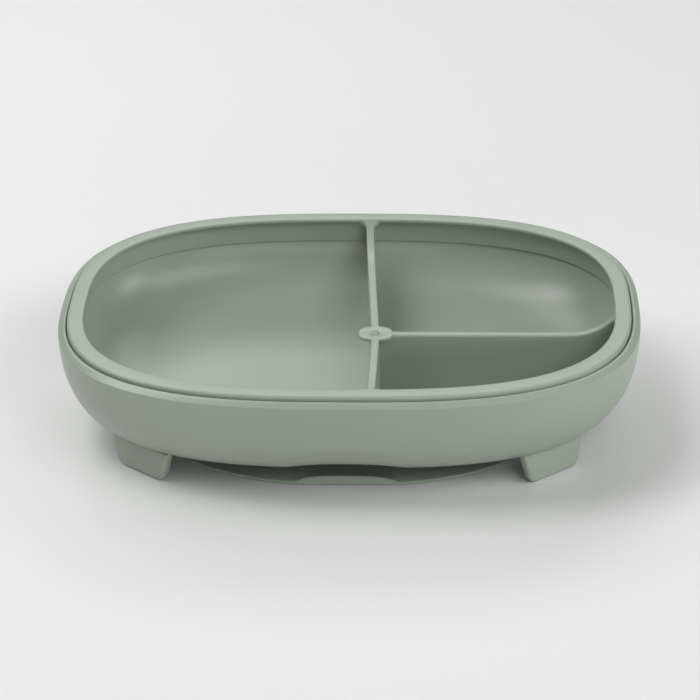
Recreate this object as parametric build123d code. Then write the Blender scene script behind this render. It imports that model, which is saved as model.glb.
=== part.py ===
from build123d import *
import math
import os

# Oval suction bowl for babies: a hard bowl on four feet, a lift-out divider frame and a suction base.
# Units are millimetres. The origin is on the table, under the middle of the bowl.
# +X runs along the length, +Y to the back and +Z up. The pull tab is at the front, on the -Y side.

os.makedirs("parts", exist_ok=True)

# ---- driving dimensions ----
HALF_LENGTH = 109.6        # outside of the bowl at its rim
HALF_WIDTH = 76.9
OVAL_POWER = 2.8           # plan outline, between an ellipse (2) and a rectangle
TOTAL_HEIGHT = 47.0        # table to the top of the divider frame's flange
OUTLINE_POINTS = 32
OVERLAP = 1.0              # a cut or a joined block runs this far past the face that it crosses

# bowl
RIM_TOP = 45.5
RIM_BEVEL = 0.8            # the rim's outer edge leans in this much over its last millimetre
RIM_THICKNESS = 3.0
BELLY_TOP = 44.5           # the outside is widest here and curves in below
BELLY_DEPTH = 39.0
BELLY_SPREAD = 35.9
BELLY_POWER = 2.41
UNDERSIDE = 8.6
LEDGE_HEIGHT = 43.8        # step that the flange rests on
WALL_THICKNESS = 4.0
FLOOR_HEIGHT = 13.5
CAVITY_SPREAD = 36.0       # from the upright wall to where the floor is level
CAVITY_POWER = 2.4
PROFILE_STEPS = 6
SCOOP_HALF_WIDTH = 20.0    # finger hollow above the pull tab
SCOOP_HALF_DEPTH = 14.5
SCOOP_HALF_HEIGHT = 21.6
SCOOP_Y = 72.0
SCOOP_Z = 4.0

# push-fit boss under the bowl, and the stud of the suction base inside it
BOSS_RADIUS = 16.0
BOSS_BORE_RADIUS = 12.5
BOSS_BOTTOM = 3.7
STUD_RADIUS = 12.44
STUD_TOP = 8.2
STUD_HOLLOW_RADIUS = 9.5

# feet
FOOT_X = 76.3              # middle of the foot's outer face at the table
FOOT_Y = 50.3
FOOT_TURN = 37.0           # angle between the foot's face and +X
FOOT_TOP_OUTER = 14.4      # reach of the foot's face towards the bowl's end, at its top
FOOT_TOP_INNER = 13.3      # and towards the bowl's middle
FOOT_BOTTOM_OUTER = 12.4
FOOT_BOTTOM_INNER = 10.0
FOOT_THICKNESS = 5.0
FOOT_HEIGHT = 14.0
FOOT_ROUND = 3.8

# divider frame
FRAME_GAP = 0.4            # sideways play of the flange in the rim
FLANGE_THICKNESS = 3.0
FLANGE_NOSE = 1.3          # the flange thins to this at its inner edge
FLANGE_INNER_INSET = 9.5
SKIRT_INSET = 4.7
SKIRT_THICKNESS = 1.3
SKIRT_BOTTOM = 35.6
DIVIDER_THICKNESS = 3.0
CROSS_THICKNESS = 3.3
DIVIDER_TOP = 38.5
DIVIDER_GAP = 0.3          # above the floor and off the bowl's wall
DIVIDER_RISE = 21.0        # radius of the sweep from a divider's top up to the flange
HUB_X = 10.1               # where the two dividers cross
HUB_Y = -11.0
LONG_FRONT_X = 9.0         # the long divider meets the front of the frame here
LONG_BACK_X = 5.4          # and the back of the frame here
LONG_MID_X = 8.5
LONG_MID_Y = 17.0
HUB_HALF_LENGTH = 6.5
HUB_HALF_WIDTH = 5.2
HUB_TOP = 38.6             # level with the dividers' tops
HUB_THICKNESS = 1.3

# suction base
CUP_HALF_LENGTH = 80.0
CUP_HALF_WIDTH = 58.4
CUP_POWER = 2.2
CUP_LIP = 1.2              # height of the outer edge
CUP_LIP_WIDTH = 3.0
CUP_SHOULDER = 30.0        # how far in from the edge the top becomes level
CARRIER_RADIUS = 24.0
CARRIER_BOTTOM = 1.9
CARRIER_THICKNESS = 1.5
TAB_HALF_WIDTH = 18.5
TAB_FACE_Y = 57.3
TAB_LENGTH = 6.8
TAB_HEIGHT = 3.4
TAB_BACK_HEIGHT = 2.2
TAB_END_HEIGHT = 1.3
TAB_GAP = 0.3


def oval_face(half_length, half_width, z, power=OVAL_POWER):
    """Flat face with a superellipse outline, at height z."""
    points = []
    for index in range(OUTLINE_POINTS):
        angle = 2 * math.pi * index / OUTLINE_POINTS
        cosine = math.cos(angle)
        sine = math.sin(angle)
        x = half_length * math.copysign(abs(cosine) ** (2 / power), cosine)
        y = half_width * math.copysign(abs(sine) ** (2 / power), sine)
        points.append((x, y))
    outline = Spline(*points, periodic=True)
    return Pos(0, 0, z) * make_face(outline)


def bowl_oval(inset, z):
    """Face of the bowl's own outline, drawn in by inset all round."""
    return oval_face(HALF_LENGTH - inset, HALF_WIDTH - inset, z)


def oval_prism(inset, bottom, top):
    return extrude(bowl_oval(inset, bottom), top - bottom)


def curved_in(top, depth, spread, power, start_inset, lowest):
    """Solid whose side is upright at its top and curves in to a flat bottom at height lowest."""
    share = min(1.0, (top - lowest) / depth)
    last_angle = math.asin(share ** (power / 2))
    sections = []
    for step in range(PROFILE_STEPS + 1):
        angle = last_angle * step / PROFILE_STEPS
        drop = depth * math.sin(angle) ** (2 / power)
        inset = spread * (1 - max(0.0, math.cos(angle)) ** (2 / power))
        sections.append(bowl_oval(start_inset + inset, top - drop))
    return loft(sections)


def make_bowl_body():
    belly = curved_in(BELLY_TOP, BELLY_DEPTH, BELLY_SPREAD, BELLY_POWER, 0, UNDERSIDE)
    rim = loft([bowl_oval(0, BELLY_TOP), bowl_oval(RIM_BEVEL, RIM_TOP)])
    cavity = curved_in(BELLY_TOP, BELLY_TOP - FLOOR_HEIGHT, CAVITY_SPREAD, CAVITY_POWER,
                       WALL_THICKNESS, FLOOR_HEIGHT)
    rebate = oval_prism(RIM_THICKNESS, LEDGE_HEIGHT, RIM_TOP + OVERLAP)
    scoop_size = (SCOOP_HALF_WIDTH, SCOOP_HALF_DEPTH, SCOOP_HALF_HEIGHT)
    scoop = Pos(0, -SCOOP_Y, SCOOP_Z) * scale(Sphere(1), by=scoop_size)
    boss_height = UNDERSIDE + OVERLAP - BOSS_BOTTOM
    boss = Pos(0, 0, BOSS_BOTTOM) * extrude(Circle(BOSS_RADIUS), boss_height)
    bore_height = UNDERSIDE - BOSS_BOTTOM
    bore = Pos(0, 0, BOSS_BOTTOM) * extrude(Circle(BOSS_BORE_RADIUS), bore_height)
    return belly + rim + boss - cavity - rebate - scoop - bore


def make_foot(side_x, side_y, bowl):
    """Tapered slab with round lower corners, cut off where it meets the bowl."""
    outer = -side_x * side_y
    slab_outline = Polyline(
        (outer * FOOT_BOTTOM_OUTER, 0),
        (outer * FOOT_TOP_OUTER, FOOT_HEIGHT),
        (-outer * FOOT_TOP_INNER, FOOT_HEIGHT),
        (-outer * FOOT_BOTTOM_INNER, 0),
        close=True,
    )
    slab_face = make_face(slab_outline)
    lower_corners = slab_face.vertices().sort_by(Axis.Y)[:2]
    slab_face = fillet(lower_corners, FOOT_ROUND)
    slab = extrude(Plane.XZ * slab_face, -FOOT_THICKNESS)
    turn = side_x * FOOT_TURN if side_y < 0 else 180 - side_x * FOOT_TURN
    placed = Pos(side_x * FOOT_X, side_y * FOOT_Y, 0) * Rot(0, 0, turn) * slab
    return placed - bowl


def frame_opening():
    """Space inside the frame: the skirt's opening, drawn in under the flange to the flange's opening."""
    flange_bottom = TOTAL_HEIGHT - FLANGE_THICKNESS
    nose_bottom = TOTAL_HEIGHT - FLANGE_NOSE
    skirt_inner_inset = SKIRT_INSET + SKIRT_THICKNESS
    in_skirt = oval_prism(skirt_inner_inset, SKIRT_BOTTOM, flange_bottom)
    wide_end = bowl_oval(skirt_inner_inset, flange_bottom)
    narrow_end = bowl_oval(FLANGE_INNER_INSET, nose_bottom)
    under_flange = loft([wide_end, narrow_end])
    in_flange = oval_prism(FLANGE_INNER_INSET, nose_bottom, TOTAL_HEIGHT)
    return in_skirt + under_flange + in_flange


def make_insert_frame(opening):
    """Ring that lines the rim: a flat flange on top and a thin skirt below it."""
    flange = oval_prism(RIM_THICKNESS + FRAME_GAP, TOTAL_HEIGHT - FLANGE_THICKNESS, TOTAL_HEIGHT)
    skirt = oval_prism(SKIRT_INSET, SKIRT_BOTTOM, TOTAL_HEIGHT)
    return flange + skirt - opening


def divider_space(opening):
    """Space that the dividers reach out to: the frame's opening, and the bowl's cavity below it."""
    cavity = curved_in(BELLY_TOP, BELLY_TOP - FLOOR_HEIGHT, CAVITY_SPREAD, CAVITY_POWER,
                       WALL_THICKNESS + DIVIDER_GAP, FLOOR_HEIGHT)
    below_skirt = Pos(0, 0, DIVIDER_GAP) * cavity & oval_prism(0, 0, SKIRT_BOTTOM)
    return below_skirt + opening


def dip(start, end):
    """Side view, in (distance, height), of the hollow above a divider: its top sweeps up at both ends."""
    rise = TOTAL_HEIGHT - DIVIDER_TOP
    sweep_run = math.sqrt(DIVIDER_RISE ** 2 - (DIVIDER_RISE - rise) ** 2)
    overrun = DIVIDER_RISE - sweep_run
    length = end - start + 2 * overrun
    height = 2 * DIVIDER_RISE + OVERLAP
    outline = Rectangle(length, height, align=(Align.MIN, Align.MIN))
    lower_corners = outline.vertices().sort_by(Axis.Y)[:2]
    rounded = fillet(lower_corners, DIVIDER_RISE)
    return Pos(start - overrun, DIVIDER_TOP) * rounded


def make_long_divider(space):
    """Wall from the front of the frame to the back, bowed a little in plan."""
    front_point = (LONG_FRONT_X, -HALF_WIDTH)
    back_point = (LONG_BACK_X, HALF_WIDTH)
    middle_line = (front_point, (HUB_X, HUB_Y), (LONG_MID_X, LONG_MID_Y), back_point)
    left_side = Spline(*[(x - DIVIDER_THICKNESS / 2, y) for x, y in middle_line])
    right_side = Spline(*[(x + DIVIDER_THICKNESS / 2, y) for x, y in middle_line])
    front_end = Line(left_side @ 0, right_side @ 0)
    back_end = Line(left_side @ 1, right_side @ 1)
    wall = extrude(make_face([left_side, back_end, right_side, front_end]), TOTAL_HEIGHT)
    inner_half_width = HALF_WIDTH - FLANGE_INNER_INSET
    hollow = extrude(Plane.YZ * dip(-inner_half_width, inner_half_width), HALF_LENGTH, both=True)
    return (wall & space) - hollow


def make_cross_divider(space, long_divider):
    """Wall from the long divider to the right-hand end of the frame."""
    from_hub = (Align.MIN, Align.CENTER, Align.MIN)
    block = Box(HALF_LENGTH - HUB_X, CROSS_THICKNESS, TOTAL_HEIGHT, align=from_hub)
    wall = Pos(HUB_X, HUB_Y, 0) * block
    inner_half_length = HALF_LENGTH - FLANGE_INNER_INSET
    hollow = extrude(Plane.XZ * dip(-inner_half_length, inner_half_length), HALF_WIDTH, both=True)
    return (wall & space) - hollow - long_divider


def make_hub_disc():
    """Thin oval disc let into the top of the crossing."""
    disc = extrude(Ellipse(HUB_HALF_LENGTH, HUB_HALF_WIDTH), HUB_THICKNESS)
    return Pos(HUB_X, HUB_Y, HUB_TOP - HUB_THICKNESS) * disc


def cup_section(inset, z):
    """Face of the suction cup's outline, drawn in by inset all round."""
    return oval_face(CUP_HALF_LENGTH - inset, CUP_HALF_WIDTH - inset, z, CUP_POWER)


def make_suction_cup():
    """Silicone skirt: a thin lip on the table and a shallow dome up to the rigid carrier."""
    lip = extrude(cup_section(0, 0), CUP_LIP)
    carrier_top = CARRIER_BOTTOM + CARRIER_THICKNESS
    dome = loft([cup_section(0, CUP_LIP), cup_section(CUP_SHOULDER, carrier_top)])
    chamber = loft([cup_section(CUP_LIP_WIDTH, 0), cup_section(CUP_SHOULDER, CARRIER_BOTTOM)])
    carrier_hole = extrude(Circle(CARRIER_RADIUS), TOTAL_HEIGHT)
    pocket_corner = (Align.CENTER, Align.MAX, Align.CENTER)
    pocket_box = Box(2 * (TAB_HALF_WIDTH + TAB_GAP), CUP_HALF_WIDTH, TOTAL_HEIGHT, align=pocket_corner)
    pocket = Pos(0, TAB_LENGTH + TAB_GAP - TAB_FACE_Y, 0) * pocket_box
    return lip + dome - chamber - carrier_hole - pocket


def make_cup_carrier():
    """Rigid disc that the silicone is moulded round, with the stud that fits in the bowl's boss."""
    disc = Pos(0, 0, CARRIER_BOTTOM) * extrude(Circle(CARRIER_RADIUS), CARRIER_THICKNESS)
    stud = Pos(0, 0, CARRIER_BOTTOM) * extrude(Circle(STUD_RADIUS), STUD_TOP - CARRIER_BOTTOM)
    hollow_bottom = CARRIER_BOTTOM + CARRIER_THICKNESS
    hollow = Pos(0, 0, hollow_bottom) * extrude(Circle(STUD_HOLLOW_RADIUS), STUD_TOP - hollow_bottom)
    return disc + stud - hollow


def tab_face(height, end_height, y):
    """Upright face of the tab: a straight foot and an arched top."""
    left_foot = (-TAB_HALF_WIDTH, 0)
    right_foot = (TAB_HALF_WIDTH, 0)
    left_top = (-TAB_HALF_WIDTH, end_height)
    right_top = (TAB_HALF_WIDTH, end_height)
    outline = [
        Line(left_foot, right_foot),
        Line(right_foot, right_top),
        ThreePointArc(right_top, (0, height), left_top),
        Line(left_top, left_foot),
    ]
    return Plane((0, y, 0), x_dir=(1, 0, 0), z_dir=(0, -1, 0)) * make_face(outline)


def make_pull_tab():
    """Tongue at the front edge of the cup, with a flat face for the fingertip."""
    front = tab_face(TAB_HEIGHT, TAB_END_HEIGHT, -TAB_FACE_Y)
    back = tab_face(TAB_BACK_HEIGHT, TAB_END_HEIGHT, -TAB_FACE_Y + TAB_LENGTH)
    return loft([front, back])


bowl_body = make_bowl_body()
export_step(bowl_body, "parts/bowl_body.step")

for side_y, row_name in ((-1, "front"), (1, "back")):
    for side_x, side_name in ((-1, "left"), (1, "right")):
        foot = make_foot(side_x, side_y, bowl_body)
        export_step(foot, f"parts/foot_{row_name}_{side_name}.step")

opening = frame_opening()
space = divider_space(opening)
hub_disc = make_hub_disc()
long_divider = make_long_divider(space)
cross_divider = make_cross_divider(space, long_divider)
export_step(make_insert_frame(opening), "parts/divider_frame.step")
export_step(long_divider - hub_disc, "parts/long_divider.step")
export_step(cross_divider - hub_disc, "parts/cross_divider.step")
export_step(hub_disc, "parts/hub_disc.step")

export_step(make_suction_cup(), "parts/suction_cup.step")
export_step(make_cup_carrier(), "parts/cup_carrier.step")
export_step(make_pull_tab(), "parts/pull_tab.step")
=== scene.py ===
import math

import bmesh
import bpy
import numpy as np
from mathutils import Matrix, Vector


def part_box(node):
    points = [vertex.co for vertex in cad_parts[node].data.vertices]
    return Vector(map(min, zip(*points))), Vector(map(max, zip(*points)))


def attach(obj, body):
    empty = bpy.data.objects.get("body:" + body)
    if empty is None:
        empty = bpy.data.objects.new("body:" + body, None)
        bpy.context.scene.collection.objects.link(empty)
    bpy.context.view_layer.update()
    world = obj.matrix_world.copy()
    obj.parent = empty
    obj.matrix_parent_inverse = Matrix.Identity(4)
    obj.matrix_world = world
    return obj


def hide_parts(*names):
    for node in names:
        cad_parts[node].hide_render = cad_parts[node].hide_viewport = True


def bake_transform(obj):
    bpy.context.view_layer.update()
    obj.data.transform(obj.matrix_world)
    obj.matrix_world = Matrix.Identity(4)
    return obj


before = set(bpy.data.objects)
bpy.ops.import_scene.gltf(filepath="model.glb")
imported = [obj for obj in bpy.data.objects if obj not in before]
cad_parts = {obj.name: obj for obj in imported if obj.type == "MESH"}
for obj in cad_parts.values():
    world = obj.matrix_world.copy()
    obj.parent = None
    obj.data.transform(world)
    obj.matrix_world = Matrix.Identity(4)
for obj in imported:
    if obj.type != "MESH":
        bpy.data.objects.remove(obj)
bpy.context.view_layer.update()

# Looks of the oval suction bowl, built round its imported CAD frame.
# Shapes are worked out in millimetres and turned into metres when a mesh is made.

MM = 0.001
rim_low, rim_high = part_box("bowl_body")
ring_low, ring_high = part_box("divider_frame")
_, cup_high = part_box("suction_cup")
tab_low, tab_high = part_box("pull_tab")
hub_low, hub_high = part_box("hub_disc")

# ---- sizes, in millimetres ----
HALF_LENGTH = rim_high.x / MM
HALF_WIDTH = rim_high.y / MM
OVAL_POWER = 2.8
RING_POINTS = 256
CUP_RING_POINTS = 384
HUB_RING_POINTS = 96
PROFILE_STEPS = 44

# bowl
RIM_TOP = rim_high.z / MM
RIM_THICKNESS = 3.0
RIM_CROWN = 1.9
RIM_CREASE = 1.5
BELLY_TOP = 44.5
BELLY_DEPTH = 39.0
BELLY_SPREAD = 35.9
BELLY_POWER = 2.41
UNDERSIDE = 8.6
UNDERSIDE_ROUND = 5.0
UNDERSIDE_REACH = 12.0        # the level part runs this far in before it closes to the boss
LEDGE_HEIGHT = 43.8
WALL_THICKNESS = 4.0
FLOOR_HEIGHT = 13.5
CAVITY_DEPTH = BELLY_TOP - FLOOR_HEIGHT
CAVITY_SPREAD = 36.0
CAVITY_POWER = 2.4
BOSS_RADIUS = 16.0
BORE_RADIUS = 12.5
BOSS_BOTTOM = rim_low.z / MM
BOSS_EDGE = 0.5
BOSS_FOOT = 0.8
SCOOP_HALF_WIDTH = 22.5
SCOOP_TOP = 25.0
SCOOP_DEPTH = 5.5
SCOOP_FLATNESS = 2.6          # across the bowl: higher is flatter in the middle
SCOOP_FADE = 1.6              # and higher fades out more softly at the sides
SCOOP_CURVE = 1.2             # down the belly: 1 is a straight slope
SCOOP_TURN = 0.5              # how much tighter the belly turns under, at the scoop

# feet
FOOT_X = 76.3
FOOT_Y = 50.3
FOOT_TURN = 37.0
FOOT_TOP_OUTER = 14.4
FOOT_TOP_INNER = 13.3
FOOT_BOTTOM_OUTER = 12.4
FOOT_BOTTOM_INNER = 10.0
FOOT_THICKNESS = 5.0
FOOT_HEIGHT = 13.0
FOOT_ROUND = 3.8
FOOT_EDGE = 1.5
FOOT_THINNING = 0.25          # share of the thickness that is lost at the table

# divider insert
INSERT_TOP = ring_high.z / MM
FLANGE_BOTTOM = INSERT_TOP - 3.0
FLANGE_NOSE = 1.3
FLANGE_OUTER_INSET = HALF_LENGTH - ring_high.x / MM
FLANGE_INNER_INSET = 9.5
SKIRT_INSET = 4.7
SKIRT_INNER_INSET = 6.0
SKIRT_BOTTOM = ring_low.z / MM
DIVIDER_THICKNESS = 3.0
DIVIDER_TOP = 38.5
DIVIDER_RISE = 21.0
DIVIDER_FLARE = 2.6
DIVIDER_EDGE = 0.45
DIVIDER_GAP = 0.3             # above the bowl's inside
DIVIDER_SINK = 0.02           # the top lies this far under the flange's
DIVIDER_BITE = 0.6            # the ends run this far into the skirt
CROWDED_REACH = 4.0           # sections are closer together this near the flange
STATION_STEP = 2.5
CROSS_THICKNESS = 3.3
CROSS_EDGE = 0.8
HUB_POWER = 2.4
HUB_EDGE = 0.35
HUB_X = (hub_low.x + hub_high.x) / 2 / MM
HUB_Y = (hub_low.y + hub_high.y) / 2 / MM
LONG_FRONT_X = 9.0
LONG_BACK_X = 5.4
LONG_MID_X = 8.5
LONG_MID_Y = 17.0

# suction cup and its tab
CUP_HALF_LENGTH = cup_high.x / MM
CUP_HALF_WIDTH = cup_high.y / MM
CUP_POWER = 2.2
TAB_HALF_WIDTH = tab_high.x / MM
TAB_FACE_Y = -tab_low.y / MM
TAB_HEIGHT = tab_high.z / MM
TAB_ARCH_POWER = 3.2          # the tab's top edge: higher is flatter in the middle
TAB_ARCH_FADE = 0.6

# floor, lamps and camera, in metres and degrees
FLOOR_SIZE = 6.0
FLOOR_DROP = 0.0002
FLOOR_COLOUR = (0.8, 0.8, 0.8)
FLOOR_ROUGHNESS = 0.7
AMBIENT_STRENGTH = 0.03
LAMP_DISTANCE = 1.3
LAMP_AIM = (0, 0, 0.02)
CAMERA_DISTANCE = 1.0
CAMERA_ELEVATION = 28.35
CAMERA_AZIMUTH = 2.52
CAMERA_ROLL = -1.02
CAMERA_LENS = 135.5
CAMERA_SENSOR = 36.0
CAMERA_SHIFT = (0.0007, -0.0727)
CAMERA_CLIP = (0.05, 20.0)

# surface
CLOUD_SCALE = 22.0
CLOUD_DETAIL = 4.0
GRAIN_SCALE = 900.0
GRAIN_DETAIL = 3.0
BUMP_STRENGTH = 0.35
GLOSS_SPREAD = 0.05
PLASTIC_IOR = 1.46
SILICONE_SCATTER = (0.002, 0.002, 0.0015)


# ---- curves ----
def oval(half_length, half_width, power=OVAL_POWER, count=RING_POINTS):
    """Superellipse outline as points a constant distance apart, from +X and counter-clockwise."""
    angle = np.linspace(0, 2 * np.pi, 8 * count + 1)
    cosine, sine = np.cos(angle), np.sin(angle)
    x = half_length * np.sign(cosine) * np.abs(cosine) ** (2 / power)
    y = half_width * np.sign(sine) * np.abs(sine) ** (2 / power)
    along = np.concatenate([[0], np.cumsum(np.hypot(np.diff(x), np.diff(y)))])
    wanted = np.linspace(0, along[-1], count, endpoint=False)
    return np.column_stack([np.interp(wanted, along, x), np.interp(wanted, along, y)])


def at_height(outline, z):
    return np.column_stack([outline, np.full(len(outline), z)])


def bowl_ring(inset, z):
    return at_height(oval(HALF_LENGTH - inset, HALF_WIDTH - inset), z)


def circle_ring(radius, z):
    return at_height(oval(radius, radius, 2.0), z)


def curve_in(top, depth, spread, power, start_inset, lowest, steps):
    """Profile as (inset, height) pairs that starts upright at top and curves in to height lowest."""
    share = min(1.0, (top - lowest) / depth)
    last_angle = math.asin(share ** (power / 2))
    pairs = []
    for angle in np.linspace(0, last_angle, steps):
        drop = depth * math.sin(angle) ** (2 / power)
        inset = spread * (1 - max(0.0, math.cos(angle)) ** (2 / power))
        pairs.append((start_inset + inset, top - drop))
    return pairs


def round_corner(before, corner, after, radius, steps=6):
    """Points of the arc that rounds the corner between two straight runs."""
    corner = np.array(corner, float)
    to_before = np.array(before, float) - corner
    to_after = np.array(after, float) - corner
    to_before /= np.linalg.norm(to_before)
    to_after /= np.linalg.norm(to_after)
    half_angle = math.acos(np.clip(to_before @ to_after, -1, 1)) / 2
    reach = radius / math.tan(half_angle)
    middle = corner + (to_before + to_after) * reach / (2 * math.cos(half_angle) ** 2)
    start = corner + to_before * reach - middle
    end = corner + to_after * reach - middle
    sweep = math.pi - 2 * half_angle
    points = []
    for share in np.linspace(0, 1, steps + 1):
        weight_start = math.sin((1 - share) * sweep) / math.sin(sweep)
        weight_end = math.sin(share * sweep) / math.sin(sweep)
        points.append(tuple(middle + weight_start * start + weight_end * end))
    return points


def rounded(corners, closed=False):
    """Profile from (a, b, radius) corners: a radius of 0 keeps the point as it is."""
    points = []
    count = len(corners)
    for index, (a, b, radius) in enumerate(corners):
        at_end = not closed and index in (0, count - 1)
        if radius == 0 or at_end:
            points.append((a, b))
            continue
        before = corners[index - 1][:2]
        after = corners[(index + 1) % count][:2]
        points.extend(round_corner(before, (a, b), after, radius))
    return points


def smooth_step(low, high, value):
    share = np.clip((value - low) / (high - low), 0, 1)
    return share * share * (3 - 2 * share)


# ---- meshes ----
def finish_mesh(name, mesh_builder, sharp_degrees=40):
    """Object from a bmesh in millimetres, shaded smooth except across sharp edges."""
    bmesh.ops.recalc_face_normals(mesh_builder, faces=mesh_builder.faces)
    for face in mesh_builder.faces:
        face.smooth = True
    for edge in mesh_builder.edges:
        if len(edge.link_faces) == 2 and edge.calc_face_angle(0) > math.radians(sharp_degrees):
            edge.smooth = False
    bmesh.ops.scale(mesh_builder, vec=(MM, MM, MM), verts=mesh_builder.verts)
    mesh = bpy.data.meshes.new(name)
    mesh_builder.to_mesh(mesh)
    mesh_builder.free()
    piece = bpy.data.objects.new(name, mesh)
    bpy.context.scene.collection.objects.link(piece)
    return piece


def bridge_rings(rings, closed=False, capped=True):
    """Bmesh of quads between rings of equal length, with its ends filled from a middle point."""
    builder = bmesh.new()
    rows = [[builder.verts.new(point) for point in ring] for ring in rings]
    count = len(rows[0])
    pairs = list(zip(rows, rows[1:]))
    if closed:
        pairs.append((rows[-1], rows[0]))
    for lower, upper in pairs:
        for index in range(count):
            after = (index + 1) % count
            builder.faces.new((lower[index], lower[after], upper[after], upper[index]))
    if capped and not closed:
        for row, ring in ((rows[0], rings[0]), (rows[-1], rings[-1])):
            middle = builder.verts.new(np.mean(ring, axis=0))
            for index in range(count):
                builder.faces.new((row[index], row[(index + 1) % count], middle))
    return builder


def scoop_ring(ring):
    """Presses the finger scoop into the front of a ring, and tightens the turn below it, never lower."""
    x, y, z = ring.T
    across = (1 - np.clip(np.abs(x) / SCOOP_HALF_WIDTH, 0, 1) ** SCOOP_FLATNESS) ** SCOOP_FADE
    below_top = np.clip((SCOOP_TOP - z) / (SCOOP_TOP - UNDERSIDE), 0, 1)
    inward = SCOOP_DEPTH * across * below_top ** SCOOP_CURVE * (y < 0)
    turn = SCOOP_TURN * across * below_top ** 2 * (y < 0)
    return np.column_stack([x, y + inward, z - turn * np.maximum(z - UNDERSIDE, 0)])


def make_bowl():
    """Bowl body as one closed skin, from the boss under it over the rim to the floor of the bowl."""
    belly = curve_in(BELLY_TOP, BELLY_DEPTH, BELLY_SPREAD, BELLY_POWER, 0, UNDERSIDE, PROFILE_STEPS)
    cavity = curve_in(
        BELLY_TOP, CAVITY_DEPTH, CAVITY_SPREAD, CAVITY_POWER, WALL_THICKNESS, FLOOR_HEIGHT, PROFILE_STEPS
    )
    crease = RIM_TOP - RIM_CREASE
    corners = [(belly[-1][0] + UNDERSIDE_REACH, UNDERSIDE, 0), (belly[-1][0], UNDERSIDE, UNDERSIDE_ROUND)]
    corners += [(inset, z, 0) for inset, z in reversed(belly) if UNDERSIDE + 1.6 < z < crease - 0.6]
    corners += [
        (0, crease, 0.45),
        (RIM_CROWN, RIM_TOP, 1.5),
        (RIM_THICKNESS, RIM_TOP, 0.6),
        (RIM_THICKNESS, LEDGE_HEIGHT, 0.2),
        (WALL_THICKNESS, LEDGE_HEIGHT, 0.25),
    ]
    corners += [(inset, z, 0) for inset, z in cavity if z < LEDGE_HEIGHT - 0.8]
    profile = rounded(corners)
    top_index = max(range(len(profile)), key=lambda index: profile[index][1])
    rings = [
        circle_ring(BORE_RADIUS, UNDERSIDE),
        circle_ring(BORE_RADIUS, BOSS_BOTTOM + BOSS_EDGE),
        circle_ring(BORE_RADIUS + BOSS_EDGE, BOSS_BOTTOM),
        circle_ring(BOSS_RADIUS - BOSS_EDGE, BOSS_BOTTOM),
        circle_ring(BOSS_RADIUS, BOSS_BOTTOM + BOSS_EDGE),
        circle_ring(BOSS_RADIUS, UNDERSIDE - BOSS_FOOT),
        circle_ring(BOSS_RADIUS + BOSS_FOOT, UNDERSIDE),
    ]
    for index, (inset, z) in enumerate(profile):
        ring = bowl_ring(inset, z)
        rings.append(scoop_ring(ring) if index < top_index else ring)
    return finish_mesh("bowl_skin", bridge_rings(rings))


def foot_layers():
    """(depth, inset) of each layer through a foot: quarter-round edges at the front and the back."""
    front = []
    for angle in np.linspace(0, math.pi / 2, 7):
        front.append((FOOT_EDGE * (1 - math.sin(angle)), FOOT_EDGE * (1 - math.cos(angle))))
    front.reverse()
    back = [(FOOT_THICKNESS - depth, inset) for depth, inset in reversed(front)]
    return front + back


def make_foot(name, side_x, side_y):
    """Tapered slab with round lower corners and soft edges, thinner towards the table."""
    outer = -side_x * side_y
    corners = [
        (outer * FOOT_BOTTOM_OUTER, 0, FOOT_ROUND),
        (outer * FOOT_TOP_OUTER, FOOT_HEIGHT, 0),
        (-outer * FOOT_TOP_INNER, FOOT_HEIGHT, 0),
        (-outer * FOOT_BOTTOM_INNER, 0, FOOT_ROUND),
    ]
    along, height = np.array(rounded(corners, closed=True)).T
    middle_height = FOOT_HEIGHT / 2
    half_length = (FOOT_BOTTOM_OUTER + FOOT_BOTTOM_INNER) / 2
    rings = []
    for depth, inset in foot_layers():
        drawn_along = along * (1 - inset / half_length)
        drawn_height = middle_height + (height - middle_height) * (1 - inset / middle_height)
        thinning = 1 - FOOT_THINNING + FOOT_THINNING * drawn_height / FOOT_HEIGHT
        rings.append(np.column_stack([drawn_along, depth * thinning, drawn_height]))
    builder = bridge_rings(rings)
    turn = side_x * FOOT_TURN if side_y < 0 else 180 - side_x * FOOT_TURN
    turning = Matrix.Rotation(math.radians(turn), 4, "Z")
    placing = Matrix.Translation((side_x * FOOT_X, side_y * FOOT_Y, 0)) @ turning
    bmesh.ops.transform(builder, matrix=placing, verts=builder.verts)
    return finish_mesh(name, builder)


def make_insert_ring():
    """Flange and skirt of the insert, as one closed section run round the oval."""
    section = rounded(
        [
            (FLANGE_OUTER_INSET, INSERT_TOP, 1.0),
            (FLANGE_INNER_INSET, INSERT_TOP, 0.6),
            (FLANGE_INNER_INSET, INSERT_TOP - FLANGE_NOSE, 0.45),
            (SKIRT_INNER_INSET, FLANGE_BOTTOM, 0.8),
            (SKIRT_INNER_INSET, SKIRT_BOTTOM, 0.3),
            (SKIRT_INSET, SKIRT_BOTTOM, 0.3),
            (SKIRT_INSET, FLANGE_BOTTOM, 0.4),
            (FLANGE_OUTER_INSET, FLANGE_BOTTOM, 0.3),
        ],
        closed=True,
    )
    rings = [bowl_ring(inset, z) for inset, z in section]
    return finish_mesh("insert_ring", bridge_rings(rings, closed=True))


def cavity_height(x, y):
    """Height of the bowl's inside at a point, from its oval and its profile."""
    low, high = FLOOR_HEIGHT, BELLY_TOP
    for _ in range(30):
        z = (low + high) / 2
        drop = (BELLY_TOP - z) / CAVITY_DEPTH
        inset = WALL_THICKNESS + CAVITY_SPREAD * (1 - (1 - drop ** CAVITY_POWER) ** (1 / CAVITY_POWER))
        half_length, half_width = HALF_LENGTH - inset, HALF_WIDTH - inset
        if (abs(x) / half_length) ** OVAL_POWER + (abs(y) / half_width) ** OVAL_POWER > 1:
            low = z
        else:
            high = z
    return high


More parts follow.
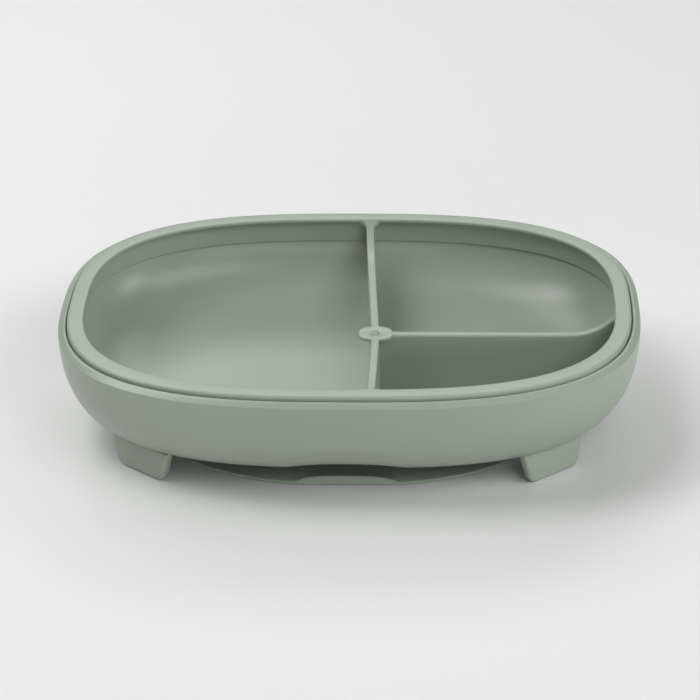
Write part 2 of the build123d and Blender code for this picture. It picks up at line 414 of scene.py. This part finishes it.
def divider_top(distance):
    """Height of a divider's top at a distance in from the flange's inner edge."""
    rise = INSERT_TOP - DIVIDER_TOP
    run = math.sqrt(DIVIDER_RISE ** 2 - (DIVIDER_RISE - rise) ** 2)
    inward = run - max(0.0, distance)
    if inward <= 0:
        return DIVIDER_TOP
    return DIVIDER_TOP + DIVIDER_RISE - math.sqrt(DIVIDER_RISE ** 2 - inward ** 2)


def flare(distance):
    """Extra half thickness of a divider where it runs into the flange, as a fillet in plan."""
    inward = np.clip(DIVIDER_FLARE - distance, 0, DIVIDER_FLARE)
    return DIVIDER_FLARE - np.sqrt(DIVIDER_FLARE ** 2 - inward ** 2)


def divider_section(top, bottom, distance, thickness, edge):
    """(offset, height) loop across a divider, with a soft top edge and a flare towards the flange."""
    side = []
    for z in np.linspace(bottom, top - edge, 14):
        in_flange = smooth_step(FLANGE_BOTTOM - 1.5, INSERT_TOP - FLANGE_NOSE, z)
        side.append((thickness / 2 + in_flange * flare(distance), z))
    width = side[-1][0]
    for angle in np.linspace(0, math.pi / 2, 5)[1:]:
        side.append((width - edge * (1 - math.cos(angle)), top - edge * (1 - math.sin(angle))))
    return side + [(-offset, z) for offset, z in reversed(side)]


def station_steps(start, end, *crowded):
    """Places along a divider, a step apart, and closer together in the crowded stretches."""
    places = [np.linspace(start, end, round((end - start) / STATION_STEP))]
    places += [np.linspace(max(start, low), min(end, high), 19) for low, high in crowded]
    return np.unique(np.round(np.concatenate(places), 2))


def long_divider_x(y):
    """Plan line of the long divider: widest to the right at the hub, bowed to the front and the back."""
    if y <= HUB_Y:
        share = (HUB_Y - y) / (HALF_WIDTH + HUB_Y)
        return HUB_X - (HUB_X - LONG_FRONT_X) * share ** 1.5
    share = (y - HUB_Y) / (HALF_WIDTH - HUB_Y)
    middle_share = (LONG_MID_Y - HUB_Y) / (HALF_WIDTH - HUB_Y)
    total = HUB_X - LONG_BACK_X
    middle = HUB_X - LONG_MID_X
    power = math.log(middle / total) / math.log(middle_share)
    return HUB_X - total * share ** power


def make_long_divider():
    """Bowed wall from the front of the frame to the back."""
    half_reach = HALF_WIDTH - SKIRT_INNER_INSET + DIVIDER_BITE
    inner = HALF_WIDTH - FLANGE_INNER_INSET
    crowded = inner - CROWDED_REACH
    rings = []
    for y in station_steps(-half_reach, half_reach, (-half_reach, -crowded), (crowded, half_reach)):
        distance = inner - abs(y)
        middle_x = long_divider_x(y)
        bottom = cavity_height(middle_x, abs(y)) + DIVIDER_GAP
        top = divider_top(distance) - DIVIDER_SINK
        bottom = min(bottom, FLANGE_BOTTOM - 2)
        section = divider_section(top, bottom, distance, DIVIDER_THICKNESS, DIVIDER_EDGE)
        rings.append(np.array([(middle_x + offset, y, z) for offset, z in section]))
    return finish_mesh("long_divider_wall", bridge_rings(rings))


def make_cross_divider():
    """Straight wall from the hub to the right-hand end of the frame."""
    reach = HALF_LENGTH - SKIRT_INNER_INSET + DIVIDER_BITE
    inner = HALF_LENGTH - FLANGE_INNER_INSET
    rings = []
    for x in station_steps(HUB_X, reach, (inner - CROWDED_REACH, reach)):
        distance = inner - x
        bottom = cavity_height(x, HUB_Y) + DIVIDER_GAP
        top = divider_top(distance) - DIVIDER_SINK
        bottom = min(bottom, FLANGE_BOTTOM - 2)
        section = divider_section(top, bottom, distance, CROSS_THICKNESS, CROSS_EDGE)
        rings.append(np.array([(x, HUB_Y + offset, z) for offset, z in section]))
    return finish_mesh("cross_divider_wall", bridge_rings(rings))


def make_hub():
    """Thin oval disc with soft edges and the small mark of the moulding gate in its middle."""
    half_length = (hub_high.x - hub_low.x) / 2 / MM
    half_width = (hub_high.y - hub_low.y) / 2 / MM
    top, bottom = hub_high.z / MM, hub_low.z / MM
    section = [(2.0, bottom)]
    for angle in np.linspace(-math.pi / 2, 0, 5):
        inset = HUB_EDGE * (1 - math.cos(angle))
        section.append((inset, bottom + HUB_EDGE * (1 + math.sin(angle))))
    for angle in np.linspace(0, math.pi / 2, 5):
        inset = HUB_EDGE * (1 - math.cos(angle))
        section.append((inset, top - HUB_EDGE * (1 - math.sin(angle))))
    rings = []
    for inset, z in section:
        rings.append(at_height(oval(half_length - inset, half_width - inset, HUB_POWER, HUB_RING_POINTS), z))
    for radius, drop in ((1.3, 0.0), (1.15, 0.12), (0.8, 0.12), (0.65, 0.0), (0.3, 0.0)):
        rings.append(at_height(oval(radius, radius, 2.0, HUB_RING_POINTS), top - drop))
    rings = [ring + (HUB_X, HUB_Y, 0) for ring in rings]
    return finish_mesh("hub_plate", bridge_rings(rings))


def tab_arch(x):
    """Share of its full height that the pull tab has across its width, 0 outside it."""
    share = np.clip(np.abs(x) / TAB_HALF_WIDTH, 0, 1)
    return (1 - share ** TAB_ARCH_POWER) ** TAB_ARCH_FADE


def cup_ring(inset, z, tab_depth, tab_z):
    """Ring of the cup whose front part is drawn to the pull tab's own depth and height."""
    outline = oval(CUP_HALF_LENGTH - inset, CUP_HALF_WIDTH - inset, CUP_POWER, CUP_RING_POINTS)
    x, y, height = at_height(outline, z).T
    share = np.where(y < 0, tab_arch(x), 0)
    y = np.maximum(y, -TAB_FACE_Y + inset)
    y = y + share * (-TAB_FACE_Y + tab_depth - y)
    return np.column_stack([x, y, height + share * (tab_z - height)])


def make_suction_cup():
    """Silicone cup: a thin lip, a shallow dome and, at the front, the upright face of the pull tab."""
    carrier_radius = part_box("cup_carrier")[1].x / MM
    # (inset, height) round the cup, and (depth behind the face, height) at the middle of the tab
    section = [
        (30.0, 1.9, 30.0, 1.9),
        (3.2, 0.3, 3.2, 0.3),
        (2.6, 0.0, 2.6, 0.0),
        (0.25, 0.0, 0.25, 0.0),
        (0.0, 0.25, 0.0, 0.25),
        (0.0, 0.8, 0.65, TAB_HEIGHT - 0.5),
        (0.12, 1.08, 0.8, TAB_HEIGHT - 0.22),
        (0.4, 1.2, 1.1, TAB_HEIGHT - 0.05),
        (1.0, 1.26, 1.4, TAB_HEIGHT - 0.1),
        (1.6, 1.32, 1.6, TAB_HEIGHT - 0.4),
        (2.4, 1.42, 1.9, 2.3),
        (4.0, 1.6, 2.6, 1.7),
        (5.6, 1.75, 3.8, 1.7),
        (7.4, 1.9, 6.0, 1.9),
        (10.0, 2.1, 10.0, 2.1),
        (16.0, 2.6, 16.0, 2.6),
        (24.0, 3.1, 24.0, 3.1),
        (30.0, 3.35, 30.0, 3.35),
    ]
    rings = [at_height(oval(carrier_radius, carrier_radius, 2.0, CUP_RING_POINTS), 1.9)]
    rings += [cup_ring(*row) for row in section]
    rings.append(at_height(oval(carrier_radius, carrier_radius, 2.0, CUP_RING_POINTS), 3.4))
    return finish_mesh("suction_cup_skin", bridge_rings(rings, closed=True))


# ---- materials ----
def moulded_material(name, colour, roughness, grain, mottle, soft=0.0):
    """Moulded plastic or silicone: cloudy colour, uneven gloss and a fine grain in the surface."""
    material = bpy.data.materials.new(name)
    material.use_nodes = True
    nodes, links = material.node_tree.nodes, material.node_tree.links
    shader = nodes["Principled BSDF"]
    place = nodes.new("ShaderNodeTexCoord")

    cloud = nodes.new("ShaderNodeTexNoise")
    cloud.inputs["Scale"].default_value = CLOUD_SCALE
    cloud.inputs["Detail"].default_value = CLOUD_DETAIL
    links.new(place.outputs["Object"], cloud.inputs["Vector"])
    tint = nodes.new("ShaderNodeValToRGB")
    tint.color_ramp.elements[0].position = 0.3
    tint.color_ramp.elements[1].position = 0.7
    for element, factor in zip(tint.color_ramp.elements, (1 - mottle, 1 + mottle)):
        element.color = (colour[0] * factor, colour[1] * factor, colour[2] * factor, 1)
    links.new(cloud.outputs["Fac"], tint.inputs["Fac"])
    links.new(tint.outputs["Color"], shader.inputs["Base Color"])

    speckle = nodes.new("ShaderNodeTexNoise")
    speckle.inputs["Scale"].default_value = GRAIN_SCALE
    speckle.inputs["Detail"].default_value = GRAIN_DETAIL
    links.new(place.outputs["Object"], speckle.inputs["Vector"])
    gloss = nodes.new("ShaderNodeMapRange")
    gloss.inputs["To Min"].default_value = roughness - GLOSS_SPREAD
    gloss.inputs["To Max"].default_value = roughness + GLOSS_SPREAD
    links.new(speckle.outputs["Fac"], gloss.inputs["Value"])
    links.new(gloss.outputs["Result"], shader.inputs["Roughness"])

    bump = nodes.new("ShaderNodeBump")
    bump.inputs["Strength"].default_value = BUMP_STRENGTH
    bump.inputs["Distance"].default_value = grain
    links.new(speckle.outputs["Fac"], bump.inputs["Height"])
    links.new(bump.outputs["Normal"], shader.inputs["Normal"])

    shader.inputs["IOR"].default_value = PLASTIC_IOR
    if soft:
        shader.inputs["Subsurface Weight"].default_value = soft
        shader.inputs["Subsurface Radius"].default_value = SILICONE_SCATTER
    return material


SAGE = (0.327, 0.398, 0.315)
bowl_plastic = moulded_material("bowl_plastic_sage", SAGE, 0.32, 0.00004, 0.03)
insert_plastic = moulded_material("insert_plastic_sage", SAGE, 0.38, 0.00005, 0.02)
cup_silicone = moulded_material("cup_silicone_sage", SAGE, 0.55, 0.00004, 0.03, soft=0.15)
carrier_plastic = moulded_material("carrier_plastic_sage", SAGE, 0.5, 0.00004, 0.02)


def dress(piece, material, slot, *replaced_nodes):
    """Gives a piece its material, and hides the CAD nodes that it stands for."""
    piece.data.materials.clear()
    piece.data.materials.append(material)
    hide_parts(*replaced_nodes)
    return piece


# ---- pieces ----
bowl = dress(make_bowl(), bowl_plastic, "bowl_plastic", "bowl_body")
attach(bowl, "bowl")

for side_y, row_name in ((-1, "front"), (1, "back")):
    for side_x, side_name in ((-1, "left"), (1, "right")):
        label = f"foot_{row_name}_{side_name}"
        foot = make_foot(label + "_slab", side_x, side_y)
        dress(foot, bowl_plastic, "bowl_plastic", label)
        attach(foot, "bowl")

insert_makers = (
    (make_insert_ring, "divider_frame"),
    (make_long_divider, "long_divider"),
    (make_cross_divider, "cross_divider"),
    (make_hub, "hub_disc"),
)
for make_piece, node_name in insert_makers:
    piece = dress(make_piece(), insert_plastic, "insert_plastic", node_name)
    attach(piece, "divider_insert")

cup = dress(make_suction_cup(), cup_silicone, "cup_silicone", "suction_cup", "pull_tab")
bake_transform(cup)

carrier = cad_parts["cup_carrier"]
carrier.data.materials.clear()
carrier.data.materials.append(carrier_plastic)


# ---- floor, light and camera ----
def plain_material(name, colour, roughness):
    """One flat colour, for the floor only."""
    material = bpy.data.materials.new(name)
    material.use_nodes = True
    shader = material.node_tree.nodes["Principled BSDF"]
    shader.inputs["Base Color"].default_value = (*colour, 1)
    shader.inputs["Roughness"].default_value = roughness
    return material


bpy.ops.mesh.primitive_plane_add(size=FLOOR_SIZE, location=(0, 0, -FLOOR_DROP))
floor = bpy.context.object
floor.name = "floor"
floor.data.materials.append(plain_material("floor_pale", FLOOR_COLOUR, FLOOR_ROUGHNESS))

world = bpy.data.worlds.new("studio")
bpy.context.scene.world = world
world.use_nodes = True
world.node_tree.nodes["Background"].inputs["Color"].default_value = (1, 1, 1, 1)
world.node_tree.nodes["Background"].inputs["Strength"].default_value = AMBIENT_STRENGTH


def soft_light(name, azimuth, elevation, size, power):
    """Rectangular soft box aimed at the bowl; azimuth runs from the front towards the right."""
    light = bpy.data.lights.new(name, "AREA")
    light.shape = "RECTANGLE"
    light.size, light.size_y = size
    light.energy = power
    turn, rise = math.radians(azimuth), math.radians(elevation)
    outward = Vector((math.sin(turn) * math.cos(rise), -math.cos(turn) * math.cos(rise), math.sin(rise)))
    holder = bpy.data.objects.new(name, light)
    holder.location = Vector(LAMP_AIM) + LAMP_DISTANCE * outward
    holder.rotation_euler = (-outward).to_track_quat("-Z", "Y").to_euler()
    bpy.context.scene.collection.objects.link(holder)


soft_light("front_right_light", 42, 43, (1.0, 0.5), 5.9)
soft_light("front_low_light", 10, 13, (0.8, 0.3), 2.5)
soft_light("right_low_light", 85, 22, (0.6, 0.4), 4.0)
soft_light("left_light", -86, 44, (0.45, 0.45), 3.4)
soft_light("left_high_light", -90, 62, (0.6, 0.6), 5.2)
soft_light("back_left_light", -140, 50, (0.6, 0.6), 3.0)
soft_light("back_light", 180, 40, (1.0, 0.4), 4.4)

elevation, azimuth, roll = map(math.radians, (CAMERA_ELEVATION, CAMERA_AZIMUTH, CAMERA_ROLL))
target = Vector((0, 0, ring_high.z))
backward = Vector((
    math.sin(azimuth) * math.cos(elevation),
    -math.cos(azimuth) * math.cos(elevation),
    math.sin(elevation),
))
camera_data = bpy.data.cameras.new("camera")
camera_data.lens = CAMERA_LENS
camera_data.sensor_width = CAMERA_SENSOR
camera_data.shift_x, camera_data.shift_y = CAMERA_SHIFT
camera_data.clip_start, camera_data.clip_end = CAMERA_CLIP
camera = bpy.data.objects.new("camera", camera_data)
level_right = Vector((math.cos(azimuth), math.sin(azimuth), 0))
level_up = backward.cross(level_right)
right = level_right * math.cos(roll) + level_up * math.sin(roll)
up = backward.cross(right)
turning = Matrix((right, up, backward)).transposed()
camera.matrix_world = Matrix.Translation(target + backward * CAMERA_DISTANCE) @ turning.to_4x4()
bpy.context.scene.collection.objects.link(camera)
bpy.context.scene.camera = camera
bpy.context.scene.view_settings.view_transform = "Standard"

bpy.context.view_layer.update()
